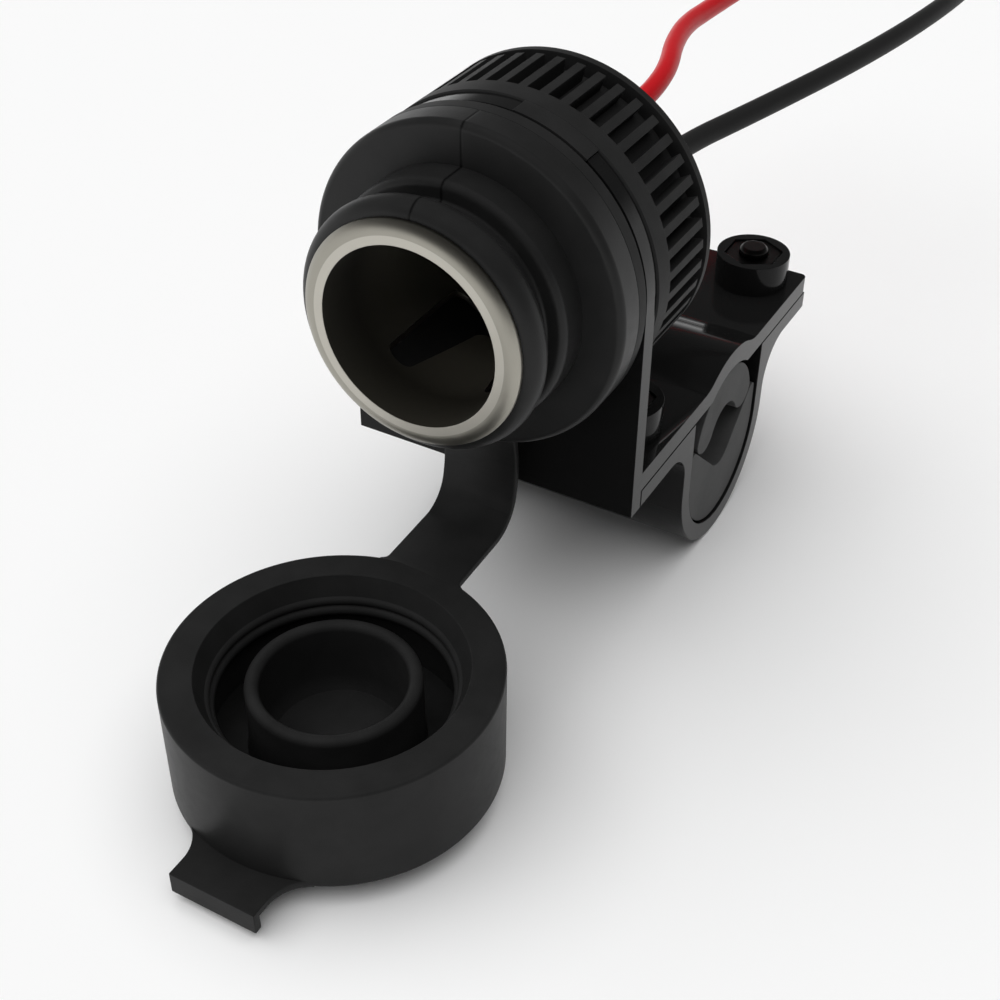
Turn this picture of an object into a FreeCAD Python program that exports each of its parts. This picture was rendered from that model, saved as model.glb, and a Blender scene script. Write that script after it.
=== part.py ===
import FreeCAD, Part
import math
import os
import re
import Sketcher

V = FreeCAD.Vector

# A 12 V socket on a bar clamp. The origin lies on the axis of the clamped bar, X along the bar,
# Y from the socket's mouth to its rear, Z up. A place along the socket's own axis is counted
# from its mouth.

SIZES = {
    # the mouth ahead of the bar's axis
    "mouth_reach": 47.05,
    # room between rigid pieces that fit, and between soft ones
    "fit_gap": 0.05,
    "soft_gap": 0.25,
    # barrel
    "bore_r": 10.5,
    "barrel_wall": 0.7,
    "barrel_len": 36,
    "brim_r": 13.1,
    "brim_flat": 1.0,
    "brim_drop": 0.67,
    "brim_thick": 1.2,
    "brim_round": 1.9,
    "barrel_corner": 2,
    "lip_hole_r": 7,
    "finger_root": 7,
    "finger_len": 12.3,
    "finger_root_half": 4.76,
    "finger_tip_half": 2.62,
    "finger_round": 1.4,
    "window_len": 16,
    "window_half": 7.54,
    # insulator, rivet and terminals
    "washer_r": 8.8,
    "washer_thick": 1.6,
    "rivet_r": 1.5,
    "rivet_head_r": 4,
    "rivet_head_edge": 0.8,
    "rivet_head_rise": 1.7,
    "rivet_tail_r": 2.2,
    "rivet_tail_len": 0.8,
    "tab_thick": 0.8,
    "tab_half": 1.6,
    "eye_r": 3.2,
    "lead_space": 5,
    "tab_end": 43,
    "foot_end": 10.6,
    "crimp_start": 42,
    "crimp_end": 48,
    "crimp_wall": 0.75,
    "sleeve_wall": 0.6,
    "sleeve_end": 51,
    # leads
    "lead_r": 1.42,
    "tip_r": 0.95,
    "tip_len": 7,
    # plastic body
    "nose_r": 13.2,
    "nose_start": 8,
    "flange_start": 15.19,
    "flange_thick": 1.71,
    "flange_r": 19.3,
    "thread_inset": 2.9,
    "thread_end": 34.6,
    "tail_r": 12.6,
    "tail_end": 43,
    "seat_r": 10.85,
    "lug_from": 55,
    "lug_to": 81.5,
    "lug_play": 1,
    # boot
    "snap_r": 14.63,
    "snap_front_r": 12.9,
    "snap_end": 4.25,
    "snap_round": 1.7,
    "neck_r": 12.4,
    "neck_end": 7.35,
    "neck_round": 0.35,
    "band_r": 14.55,
    "band_round": 0.5,
    "shoulder_start": 11.33,
    "shoulder_round": 0.85,
    # cap
    "cap_ahead": 16.72,
    "cap_drop": 32.47,
    "cap_r": 18.92,
    "cap_depth": 13.93,
    "cap_floor": 10.96,
    "cap_round": 1,
    "rim_inner_r": 15.05,
    "rim_depth": 1.85,
    "rim_draft": 0.15,
    "bead_one_r": 13.47,
    "bead_one_depth": 2.2,
    "bead_valley_r": 13.95,
    "bead_valley_depth": 2.95,
    "bead_two_r": 13.26,
    "bead_two_depth": 3.75,
    "bead_end_r": 12.98,
    "bead_end_depth": 4.4,
    "undercut_r": 15,
    "undercut_depth": 4.65,
    "undercut_end": 8.4,
    "moat_r": 14.5,
    "plug_r": 9.84,
    "plug_wall": 1.66,
    "plug_depth": 1.73,
    "plug_foot_r": 10.1,
    "plug_foot": 1.9,
    "plug_floor_r": 7.3,
    "tab_width_half": 5.5,
    "tab_reach": 23.63,
    "tab_sheet": 1,
    "tab_lip": 1.9,
    "tab_flare": 2,
    # strap
    "strap_half": 4.95,
    "strap_thick": 1,
    "strap_lean": 0.3,
    "strap_bow_r": 17.7,
    "strap_bend_r": 4.3,
    "strap_bend_rise": 3.3,
    "strap_bend_reach": 4.2,
    "strap_rise": 0.37,
    # gasket and ring nut
    "gasket_inset": 1,
    "gasket_thick": 0.85,
    "nut_inset": 0.1,
    "slot_depth": 1.9,
    "nut_len": 13.89,
    "nut_thread_gap": 0.1,
    "nut_band": 3,
    "nut_rim": 1.04,
    "nut_groove": 1,
    "slot_count": 47,
    "slot_half_width": 0.74,
    "slot_turn": -0.25,
    # bracket; the nut's room is its clear height over the base
    "bracket_inset": 0.35,
    "nut_room": 4.1,
    "plate_thick": 2.4,
    "plate_foot": 5.8,
    "split_height": 8.3,
    "base_top": 10.8,
    "base_rear": 26.7,
    "base_corner": 0.8,
    "crest_r": 12.8,
    "crest_blend": 6,
    "arch_r": 10.1,
    "boss_r": 5,
    "boss_top": 15.1,
    "boss_inset": 6.45,
    "boss_setback": 2.45,
    # clamp
    "clamp_gap": 0.25,
    "flange_base": 5.75,
    "saddle_r": 10.85,
    "saddle_wall": 2.35,
    "saddle_drop": 2.1,
    "rear_blend": 6,
    "front_blend": 4.5,
    "spot_gap": 0.35,
    # pads
    "bar_r": 4.4,
    "pad_gap": 0.3,
    "upper_pad_r": 8.9,
    "pad_hug": 27,
    "pad_cheek": 2.85,
    "pad_foot_side": 6,
    "pad_foot_height": 0.8,
    "pad_foot_out": 2.6,
    "pad_foot_in": 2.9,
    "notch_slope": 42.4,
    "notch_round": 3.5,
    "notch_tip": 1,
    # screws and their nuts
    "screw_r": 1.95,
    "screw_proud": 0.9,
    "screw_tip": 0.4,
    "screw_hole_gap": 0.2,
    "head_r": 3.5,
    "head_thick": 2.4,
    "head_round": 0.6,
    "key_flats": 3,
    "key_depth": 1.4,
    "hex_flats": 7,
    "hex_thick": 3.2,
    "hex_chamfer": 0.4,
    "hex_gap": 0.05,
    "hex_sink": 0.2,
}

doc = FreeCAD.newDocument("PowerSocket")
sheet = doc.addObject("Spreadsheet::Sheet", "Sizes")
for row, (alias, value) in enumerate(SIZES.items(), start=1):
    sheet.set(f"A{row}", alias)
    sheet.set(f"B{row}", str(value))
    sheet.setAlias(f"B{row}", alias)
doc.recompute()

nodes = []

# Places and radii that several pieces share, worked out from the sizes. A START or END lies
# along the socket's axis, counted from its mouth.
BARREL_R = "(bore_r + barrel_wall)"
THREAD_R = "(flange_r - thread_inset)"
NUT_R = "(flange_r - nut_inset)"
BRACKET_HALF = "(flange_r - bracket_inset)"
BOSS_SIDE = f"({BRACKET_HALF} - boss_inset)"
AXIS_HEIGHT = f"(base_top + nut_room + {NUT_R})"
SLOT_BOTTOM_R = f"({NUT_R} - slot_depth)"
GASKET_R = "(flange_r - gasket_inset)"
FLANGE_END = "(flange_start + flange_thick)"
PLATE_START = f"({FLANGE_END} + gasket_thick)"
PLATE_END = f"({PLATE_START} + plate_thick)"
NUT_END = f"({PLATE_END} + nut_len)"
WASHER_END = "(barrel_len + washer_thick)"
LIP_START = "(barrel_len - barrel_wall)"
PLATE_BACK = f"({PLATE_END} - mouth_reach)"
THREAD_HOLE_R = f"({THREAD_R} + nut_thread_gap)"
SADDLE_OUTER = "(saddle_r + saddle_wall)"
HEX_FLOOR = "(boss_top - hex_thick - hex_sink)"
SCREW_LEN = "(boss_top - flange_base + screw_proud)"


def size(text):
    """A number worked out from the sheet."""
    return float(sheet.evalExpression(text))


def bind(thing, path, text):
    """Ties a property to an expression of the sheet's sizes."""
    named = re.sub(r"\b[a-z]+(?:_[a-z]+)+\b", lambda found: "Sizes." + found.group(), text)
    thing.setExpression(path, named)


def new_body(label):
    """A body that will be one of the part's nodes."""
    body = doc.addObject("PartDesign::Body", label)
    body.Label = label
    nodes.append(body)
    return body


def on_socket_axis(body, turn="0"):
    """Stands a body's own Z axis along the socket's axis, from the mouth to the rear."""
    lay = FreeCAD.Rotation(V(1, 0, 0), -90)
    spin = FreeCAD.Rotation(V(0, 0, 1), size(turn))
    body.Placement = FreeCAD.Placement(V(0, 0, 0), lay.multiply(spin))
    bind(body, "Placement.Base.y", "-mouth_reach")
    bind(body, "Placement.Base.z", AXIS_HEIGHT)


def new_sketch(body, plane, offset="0"):
    """An empty sketch on one of the body's origin planes, or beside it."""
    sketch = body.newObject("Sketcher::SketchObject", body.Label + "_sketch")
    face = [f for f in body.Origin.OriginFeatures if f.Role == plane][0]
    sketch.AttachmentSupport = (face, [""])
    sketch.MapMode = "FlatFace"
    bind(sketch, "AttachmentOffset.Base.z", offset)
    return sketch


def fix(sketch, geometry, end, across, up):
    """Holds a point of the sketch at two expressions."""
    for kind, text in (("DistanceX", across), ("DistanceY", up)):
        rule = Sketcher.Constraint(kind, -1, 1, geometry, end, size(text))
        index = sketch.addConstraint(rule)
        bind(sketch, f"Constraints[{index}]", text)


def short_arc(start, end, radius):
    """The short arc that turns left from start to end, or right if radius is negative."""
    chord = end - start
    half = chord.Length / 2
    inward = V(-chord.y, chord.x, 0).normalize() * math.copysign(1, radius)
    centre = (start + end) * 0.5 + inward * math.sqrt(max(radius * radius - half * half, 0))
    first, last = (start, end) if radius > 0 else (end, start)
    begin = math.atan2(first.y - centre.y, first.x - centre.x)
    swept = 2 * math.asin(min(half / abs(radius), 1))
    return Part.ArcOfCircle(Part.Circle(centre, V(0, 0, 1), abs(radius)), begin, begin + swept)


def outline(body, plane, corners, offset="0"):
    """A closed sketch through corners (across, up). A third value is the radius of an arc that
    arrives there, turning left, or right when the expression starts with a minus."""
    sketch = new_sketch(body, plane, offset)
    ends = [V(size(c[0]), size(c[1]), 0) for c in corners]
    arrivals = []
    for index, corner in enumerate(corners):
        start, end = ends[index - 1], ends[index]
        if len(corner) == 3:
            left = size(corner[2]) > 0
            edge = sketch.addGeometry(short_arc(start, end, size(corner[2])))
            arrivals.append((edge, 1, 2) if left else (edge, 2, 1))
        else:
            edge = sketch.addGeometry(Part.LineSegment(start, end))
            arrivals.append((edge, 1, 2))
    for index, corner in enumerate(corners):
        edge, _, last = arrivals[index]
        following, first, _ = arrivals[(index + 1) % len(corners)]
        sketch.addConstraint(Sketcher.Constraint("Coincident", edge, last, following, first))
        fix(sketch, edge, last, corner[0], corner[1])
        if len(corner) == 3:
            rule = Sketcher.Constraint("Radius", edge, abs(size(corner[2])))
            radius = sketch.addConstraint(rule)
            bind(sketch, f"Constraints[{radius}]", corner[2].lstrip("-"))
    return sketch


def circles(body, plane, rounds, offset="0"):
    """A sketch of circles, each (across, up, radius)."""
    sketch = new_sketch(body, plane, offset)
    for across, up, radius in rounds:
        centre = V(size(across), size(up), 0)
        ring = sketch.addGeometry(Part.Circle(centre, V(0, 0, 1), size(radius)))
        fix(sketch, ring, 3, across, up)
        index = sketch.addConstraint(Sketcher.Constraint("Radius", ring, size(radius)))
        bind(sketch, f"Constraints[{index}]", radius)
    return sketch


def hexagon(across, up, flats):
    """The corners of a hexagon with two flats upright, about a centre."""
    corner = f"({flats} / cos(30) / 2)"
    turns = [f"{30 + 60 * k}" for k in range(6)]
    return [(f"{across} + {corner} * cos({a})", f"{up} + {corner} * sin({a})") for a in turns]


def feature(body, kind, sketch, **settings):
    """Adds a feature made from a sketch, with sizes given as expressions."""
    made = body.newObject("PartDesign::" + kind, f"{body.Label}_{kind}")
    made.Profile = sketch
    for name, value in settings.items():
        if name == "Length":
            bind(made, "Length", value)
        else:
            setattr(made, name, value)
    sketch.Visibility = False
    doc.recompute()
    return made


def turn(body, corners):
    """Turns an outline, given as (radius, place along the axis), about the body's Z axis."""
    sketch = outline(body, "XZ_Plane", corners)
    return feature(body, "Revolution", sketch, ReferenceAxis=(sketch, ["V_Axis"]), Angle=360)


def pad(body, sketch, length, both_ways=False, back=False):
    """Raises a sketch along its normal, both ways from it, or backwards."""
    side = "Symmetric" if both_ways else "One side"
    return feature(body, "Pad", sketch, Length=length, SideType=side, Reversed=back)


def cut(body, sketch, length, along=True):
    """Cuts a sketch to a depth along its normal, or against it."""
    before = body.Shape.Volume
    made = feature(body, "Pocket", sketch, Length=length, Reversed=along)
    if not made.Shape.Volume < before - 1e-6:
        raise RuntimeError(f"a cut in {body.Label} removes nothing")
    return made


def round_edges(body, radius, chosen, kind="Fillet"):
    """Rounds or bevels the edges of the body's last feature that a rule picks."""
    base = body.Tip
    picked = [f"Edge{n}" for n, e in enumerate(base.Shape.Edges, start=1) if chosen(e)]
    if not picked:
        raise RuntimeError(f"no edge of {body.Label} fits the rule")
    made = body.newObject("PartDesign::" + kind, f"{body.Label}_{kind}")
    made.Base = (base, picked)
    bind(made, "Radius" if kind == "Fillet" else "Size", radius)
    base.Visibility = False
    doc.recompute()
    return made


# Contact barrel: a drawn tube with a rolled brim in front and a turned-in lip at the rear, with a
# round corner inside that ends the bore's wall just before the centre contact. A
# U-shaped slot in its lower wall frees a spring finger that stays joined at the front.
barrel = new_body("contact_barrel")
on_socket_axis(barrel)
turn(barrel, [
    ("bore_r", "0"),
    ("bore_r + brim_flat", "0"),
    ("brim_r", "brim_drop", "brim_round"),
    ("brim_r", "brim_thick"),
    (BARREL_R, "brim_thick"),
    (BARREL_R, "barrel_len"),
    ("lip_hole_r", "barrel_len"),
    ("lip_hole_r", LIP_START),
    ("bore_r - barrel_corner", LIP_START),
    ("bore_r", f"{LIP_START} - barrel_corner", "-barrel_corner"),
])
WINDOW_END = "finger_root + window_len"
TIP = "finger_root + finger_len"
slot = outline(barrel, "XZ_Plane", [
    ("-finger_root_half", "finger_root"),
    ("-window_half", "finger_root"),
    ("-window_half", WINDOW_END),
    ("window_half", WINDOW_END),
    ("window_half", "finger_root"),
    ("finger_root_half", "finger_root"),
    ("finger_tip_half", f"{TIP} - finger_round"),
    ("finger_tip_half - finger_round", TIP, "finger_round"),
    ("finger_round - finger_tip_half", TIP),
    ("-finger_tip_half", f"{TIP} - finger_round", "finger_round"),
])
cut(barrel, slot, "brim_r", along=False)

# Insulating washer: its boss fills the lip's hole and its collar bears on the lip.
washer = new_body("base_insulator")
on_socket_axis(washer)
turn(washer, [
    ("rivet_r + fit_gap", LIP_START),
    ("lip_hole_r - fit_gap", LIP_START),
    ("lip_hole_r - fit_gap", "barrel_len"),
    ("washer_r", "barrel_len"),
    ("washer_r", WASHER_END),
    ("rivet_r + fit_gap", WASHER_END),
])

# Centre contact: a rivet with a low domed head in the barrel, clinched behind the terminal.
EYE_END = f"{WASHER_END} + tab_thick"
HEAD_FRONT = f"{LIP_START} - rivet_head_rise"
rivet = new_body("centre_contact")
on_socket_axis(rivet)
turn(rivet, [
    ("0", HEAD_FRONT),
    ("rivet_head_r", f"{LIP_START} - rivet_head_edge", "rivet_head_r * 2.2"),
    ("rivet_head_r", LIP_START),
    ("rivet_r", LIP_START),
    ("rivet_r", EYE_END),
    ("rivet_tail_r", EYE_END),
    ("rivet_tail_r", f"{EYE_END} + rivet_tail_len"),
    ("0", f"{EYE_END} + rivet_tail_len"),
])


def crimped(body, side):
    """Adds the barrel that grips the lead, open to the rear, at one side of the axis."""
    place = f"{side} * lead_space"
    outer = circles(body, "XY_Plane", [(place, "0", "lead_r + fit_gap + crimp_wall")], "crimp_start")
    pad(body, outer, "crimp_end - crimp_start")
    bore = circles(body, "XY_Plane", [(place, "0", "lead_r + fit_gap")], "tab_end + tab_thick")
    cut(body, bore, "crimp_end - tab_end")


# Positive terminal: an eye under the rivet's tail, a leg to the left and a tab to the rear.
positive = new_body("positive_terminal")
on_socket_axis(positive)
pad(positive, circles(positive, "XY_Plane", [("0", "0", "eye_r")], WASHER_END), "tab_thick")
leg = outline(positive, "XZ_Plane", [
    ("-lead_space - tab_thick / 2", WASHER_END),
    ("0", WASHER_END),
    ("0", EYE_END),
    ("tab_thick / 2 - lead_space", EYE_END),
    ("tab_thick / 2 - lead_space", "tab_end"),
    ("-lead_space - tab_thick / 2", "tab_end"),
])
pad(positive, leg, "tab_half * 2", both_ways=True)
cut(positive, circles(positive, "XY_Plane", [("0", "0", "rivet_r + fit_gap")], WASHER_END), "tab_thick")
crimped(positive, "-1")

# Negative terminal: a foot on the rear face of the barrel, a step over the washer and a tab.
negative = new_body("negative_terminal")
on_socket_axis(negative)
FOOT_START = "(washer_r + fit_gap)"
foot = outline(negative, "XZ_Plane", [
    (FOOT_START, "barrel_len"),
    ("foot_end", "barrel_len"),
    ("foot_end", "barrel_len + tab_thick"),
    (f"{FOOT_START} + tab_thick", "barrel_len + tab_thick"),
    (f"{FOOT_START} + tab_thick", EYE_END),
    ("lead_space + tab_thick / 2", EYE_END),
    ("lead_space + tab_thick / 2", "tab_end"),
    ("lead_space - tab_thick / 2", "tab_end"),
    ("lead_space - tab_thick / 2", WASHER_END),
    (FOOT_START, WASHER_END),
])
pad(negative, foot, "tab_half * 2", both_ways=True)
crimped(negative, "1")

# Heat-shrink sleeves over the crimps.
SLEEVE_INNER = "(lead_r + 2 * fit_gap + crimp_wall)"
for label, side in (("positive_sleeve", "-1"), ("negative_sleeve", "1")):
    sleeve = new_body(label)
    on_socket_axis(sleeve)
    place = f"{side} * lead_space"
    pad(
        sleeve,
        circles(sleeve, "XY_Plane", [(place, "0", f"{SLEEVE_INNER} + sleeve_wall")], "crimp_start"),
        "sleeve_end - crimp_start",
    )
    bore = circles(sleeve, "XY_Plane", [(place, "0", SLEEVE_INNER)], "crimp_start")
    cut(sleeve, bore, "crimp_end - crimp_start")
    wire = circles(sleeve, "XY_Plane", [(place, "0", "lead_r + fit_gap")], "crimp_end")
    cut(sleeve, wire, "sleeve_end - crimp_end")

# Plastic body: a nose inside the boot, a flange, a threaded tube and a plain tail. The barrel
# ends on a seat in its bore. A key lug behind the flange fills the notch of the bracket.
housing = new_body("socket_housing")
on_socket_axis(housing)
turn(housing, [
    (f"{BARREL_R} + fit_gap", "nose_start"),
    ("nose_r", "nose_start"),
    ("nose_r", "flange_start"),
    ("flange_r", "flange_start"),
    ("flange_r", FLANGE_END),
    (THREAD_R, FLANGE_END),
    (THREAD_R, "thread_end"),
    ("tail_r", "thread_end"),
    ("tail_r", "tail_end"),
    ("seat_r", "tail_end"),
    ("seat_r", "barrel_len"),
    (f"{BARREL_R} + fit_gap", "barrel_len"),
])


def sector(inner, outer, start, end, up_sign="-", rise="0"):
    """The corners of a piece of a ring between two turns above the right-hand side."""
    def at(radius, angle):
        return (f"({radius}) * cos({angle})", f"{rise} {up_sign} ({radius}) * sin({angle})")

    bend = "-" if up_sign == "-" else ""
    back = "" if up_sign == "-" else "-"
    return [
        at(inner, start) + (f"{back}({inner})",),
        at(outer, start),
        at(outer, end) + (f"{bend}({outer})",),
        at(inner, end),
    ]


LUG_ROOT = f"{THREAD_R} - 1"
lug = outline(housing, "XY_Plane", sector(LUG_ROOT, NUT_R, "lug_from", "lug_to"), FLANGE_END)
pad(housing, lug, "gasket_thick + plate_thick")

# Rubber boot: a snap lip and neck over the barrel, a thicker band over the nose and a broad
# shoulder against the flange.
boot = new_body("rubber_boot")
on_socket_axis(boot)
turn(boot, [
    (f"{BARREL_R} + fit_gap", "brim_thick"),
    ("snap_front_r", "brim_thick"),
    ("snap_r", "brim_thick + snap_round", "snap_round + 0.1"),
    ("snap_r - 0.4", "snap_end", "snap_round"),
    ("neck_r", "snap_end"),
    ("neck_r", "neck_end - neck_round"),
    ("neck_r + neck_round", "neck_end", "-neck_round"),
    ("band_r - band_round", "neck_end"),
    ("band_r", "neck_end + band_round", "band_round"),
    ("band_r", "shoulder_start"),
    ("flange_r - shoulder_round", "shoulder_start"),
    ("flange_r", "shoulder_start + shoulder_round", "shoulder_round"),
    ("flange_r", "flange_start"),
    ("nose_r + fit_gap", "flange_start"),
    ("nose_r + fit_gap", "nose_start"),
    (f"{BARREL_R} + fit_gap", "nose_start"),
])

# Cap, lying open below the mouth with its cup upwards: a wall with two sealing beads inside its
# rim and a moat that takes the boot's snap lip, a plug ring that enters the barrel, and a pull
# tab at the base with a turned-down end.
cap = new_body("cap")
bind(cap, "Placement.Base.y", "-mouth_reach - cap_ahead")
bind(cap, "Placement.Base.z", f"{AXIS_HEIGHT} - cap_drop")
PLUG_CREST_R = "plug_r - plug_wall / 2"
turn(cap, [
    ("0", "-cap_depth"),
    ("cap_r - cap_round", "-cap_depth"),
    ("cap_r", "cap_round - cap_depth", "cap_round"),
    ("cap_r", "0"),
    ("rim_inner_r", "0"),
    ("rim_inner_r - rim_draft", "-rim_depth"),
    ("bead_one_r", "-bead_one_depth"),
    ("bead_valley_r", "-bead_valley_depth"),
    ("bead_two_r", "-bead_two_depth"),
    ("bead_end_r", "-bead_end_depth"),
    ("undercut_r", "-undercut_depth"),
    ("undercut_r", "-undercut_end"),
    ("moat_r", "-cap_floor"),
    ("plug_foot_r", "-cap_floor"),
    ("plug_r", "plug_foot - cap_floor"),
    ("plug_r", "-plug_depth - plug_wall / 2"),
    (PLUG_CREST_R, "-plug_depth", "plug_wall / 2"),
    ("plug_r - plug_wall", "-plug_depth - plug_wall / 2", "plug_wall / 2"),
    ("plug_r - plug_wall", "plug_foot - cap_floor"),
    ("plug_floor_r", "-cap_floor"),
    ("0", "-cap_floor"),
])
FLARE = "(tab_width_half + tab_flare)"
TAB_ROOT = f"(sqrt(cap_r^2 - {FLARE}^2) - 0.5)"
sheet_plan = outline(cap, "XY_Plane", [
    (f"-{FLARE}", f"-{TAB_ROOT}"),
    ("-tab_width_half", f"-{TAB_ROOT} - tab_flare * 1.4", "-tab_flare * 1.4"),
    ("-tab_width_half", "-tab_reach"),
    ("tab_width_half", "-tab_reach"),
    ("tab_width_half", f"-{TAB_ROOT} - tab_flare * 1.4"),
    (FLARE, f"-{TAB_ROOT}", "-tab_flare * 1.4"),
], "-cap_depth")
pad(cap, sheet_plan, "tab_sheet")
lip_plan = outline(cap, "XY_Plane", [
    ("-tab_width_half", "-tab_reach"),
    ("tab_width_half", "-tab_reach"),
    ("tab_width_half", "tab_sheet - tab_reach"),
    ("-tab_width_half", "tab_sheet - tab_reach"),
], "-cap_depth")
pad(cap, lip_plan, "tab_lip", back=True)

# Strap: a flat tether that falls from the foot of the boot's shoulder, bends forward and meets
# the cap's rim. Its ends follow the shoulder and the cap's wall.
strap = new_body("cap_strap")
bind(strap, "Placement.Base.y", "-mouth_reach")
bind(strap, "Placement.Base.z", AXIS_HEIGHT)
STRAP_FRONT = "(flange_start - strap_thick)"
BEND_TOP = "(strap_rise - cap_drop + strap_bend_rise)"
LEVEL_Y = f"({STRAP_FRONT} + strap_lean - strap_bend_reach)"
LEVEL_Z = "(strap_rise - cap_drop)"
CAP_SIDE = "(cap_r - cap_ahead - 1)"
band = outline(strap, "YZ_Plane", [
    (STRAP_FRONT, "1 - flange_r"),
    (STRAP_FRONT, "-flange_r"),
    (f"{STRAP_FRONT} + strap_lean", BEND_TOP, "-strap_bow_r"),
    (LEVEL_Y, LEVEL_Z, "-strap_bend_r"),
    (CAP_SIDE, "-cap_drop"),
    (CAP_SIDE, "-cap_drop - strap_thick"),
    (LEVEL_Y, f"{LEVEL_Z} - strap_thick"),
    ("flange_start + strap_lean", f"{BEND_TOP} - strap_thick / 4", "strap_bend_r + strap_thick"),
    ("flange_start", "-flange_r", "strap_bow_r + strap_thick"),
    ("flange_start", "1 - flange_r"),
])
pad(strap, band, "strap_half * 2", both_ways=True)
cut(strap, circles(strap, "XZ_Plane", [("0", "0", "flange_r + soft_gap")]), "flange_start + 1", along=False)
wall = circles(strap, "XY_Plane", [("0", "-cap_ahead", "cap_r + soft_gap")], "-cap_drop - 2 * strap_thick")
cut(strap, wall, "strap_thick * 3")

# Gasket between the flange and the bracket, open where the key lug passes.
gasket = new_body("gasket")
on_socket_axis(gasket)
turn(gasket, [
    (f"{THREAD_R} + fit_gap", FLANGE_END),
    (GASKET_R, FLANGE_END),
    (GASKET_R, PLATE_START),
    (f"{THREAD_R} + fit_gap", PLATE_START),
])
LUG_SPAN = ("lug_from - lug_play", "lug_to + lug_play")
opening = outline(gasket, "XY_Plane", sector(f"{THREAD_R} - 1", f"{GASKET_R} + 1", *LUG_SPAN), FLANGE_END)
cut(gasket, opening, "gasket_thick")

# Ring nut: a plain band against the bracket, a ring of grip slots, a groove and a plain rim.
nut = new_body("ring_nut")
on_socket_axis(nut, "slot_turn")
GROOVE_END = f"({NUT_END} - nut_rim)"
GROOVE_START = f"({GROOVE_END} - nut_groove)"
turn(nut, [
    (THREAD_HOLE_R, PLATE_END),
    (NUT_R, PLATE_END),
    (NUT_R, GROOVE_START),
    (SLOT_BOTTOM_R, GROOVE_START),
    (SLOT_BOTTOM_R, GROOVE_END),
    (NUT_R, GROOVE_END),
    (NUT_R, NUT_END),
    (THREAD_HOLE_R, NUT_END),
])
SLOT_START = f"{PLATE_END} + nut_band"
slot = outline(nut, "XY_Plane", [
    (SLOT_BOTTOM_R, "-slot_half_width"),
    (f"{NUT_R} + 1", "-slot_half_width"),
    (f"{NUT_R} + 1", "slot_half_width"),
    (SLOT_BOTTOM_R, "slot_half_width"),
], SLOT_START)
first_slot = cut(nut, slot, f"{GROOVE_START} - ({SLOT_START})")
slots = nut.newObject("PartDesign::PolarPattern", "ring_nut_slots")
slots.Originals = [first_slot]
slots.Axis = (slot, ["N_Axis"])
slots.Angle = 360
bind(slots, "Occurrences", "slot_count")
nut.Tip = slots
doc.recompute()

# The four screw places, as seen from above.
SCREWS = {
    "front_left": (f"-{BOSS_SIDE}", f"({PLATE_BACK} + boss_setback + boss_r)"),
    "front_right": (BOSS_SIDE, f"({PLATE_BACK} + boss_setback + boss_r)"),
    "rear_left": (f"-{BOSS_SIDE}", "(base_rear - boss_r)"),
    "rear_right": (BOSS_SIDE, "(base_rear - boss_r)"),
}

# Bracket: a base plate that arches over the bar, an upright plate with a round top for the
# socket, and a boss with a hexagon pocket over each screw.
bracket = new_body("bracket")
CREST_Y = "sqrt((crest_r + crest_blend)^2 - (base_top + crest_blend)^2)"
TOUCH = "crest_r / (crest_r + crest_blend)"
TOUCH_Y = f"{CREST_Y} * {TOUCH}"
TOUCH_Z = f"(base_top + crest_blend) * {TOUCH}"
ARCH_Y = "sqrt(arch_r^2 - split_height^2)"
FRONT_EDGE = f"{PLATE_BACK} - plate_thick / 2"
base = outline(bracket, "YZ_Plane", [
    (FRONT_EDGE, "split_height"),
    (f"-{ARCH_Y}", "split_height"),
    (ARCH_Y, "split_height", "-arch_r"),
    ("base_rear", "split_height"),
    ("base_rear", "base_top"),
    (CREST_Y, "base_top"),
    (TOUCH_Y, TOUCH_Z, "-crest_blend"),
    (f"-{TOUCH_Y}", TOUCH_Z, "crest_r"),
    (f"-{CREST_Y}", "base_top", "-crest_blend"),
    (FRONT_EDGE, "base_top"),
])
pad(bracket, base, f"{BRACKET_HALF} * 2", both_ways=True)
PLATE_OFFSET = f"mouth_reach - {PLATE_START}"
plate = outline(bracket, "XZ_Plane", [
    (f"-{BRACKET_HALF}", "plate_foot"),
    (BRACKET_HALF, "plate_foot"),
    (BRACKET_HALF, AXIS_HEIGHT),
    ("0", f"{AXIS_HEIGHT} + {BRACKET_HALF}", BRACKET_HALF),
    (f"-{BRACKET_HALF}", AXIS_HEIGHT, BRACKET_HALF),
], PLATE_OFFSET)
pad(bracket, plate, "plate_thick", back=True)
bosses = circles(bracket, "XY_Plane", [(x, y, "boss_r") for x, y in SCREWS.values()], "split_height")
pad(bracket, bosses, "boss_top - split_height")
round_edges(bracket, "base_corner", lambda e: (
    abs(abs(e.BoundBox.Center.x) - size(BRACKET_HALF)) < 0.01
    and e.BoundBox.XLength < 0.01
    and abs(e.BoundBox.Center.y - size("base_rear")) < 0.01
    and e.BoundBox.YLength < 0.01
))
hole = circles(bracket, "XZ_Plane", [("0", AXIS_HEIGHT, THREAD_HOLE_R)], PLATE_OFFSET)
cut(bracket, hole, "plate_thick", along=False)
notch = sector(f"{THREAD_R} - 1", f"{BRACKET_HALF} + 2", *LUG_SPAN, up_sign="+", rise=AXIS_HEIGHT)
cut(bracket, outline(bracket, "XZ_Plane", notch, PLATE_OFFSET), "plate_thick", along=False)
for x, y in SCREWS.values():
    pocket = outline(bracket, "XY_Plane", hexagon(x, y, "(hex_flats + 2 * hex_gap)"), "boss_top")
    cut(bracket, pocket, f"boss_top - {HEX_FLOOR}", along=False)
SCREW_HOLE_R = "screw_r + screw_hole_gap"
holes = circles(bracket, "XY_Plane", [(x, y, SCREW_HOLE_R) for x, y in SCREWS.values()], "boss_top")
cut(bracket, holes, "boss_top - split_height + 1", along=False)

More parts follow.
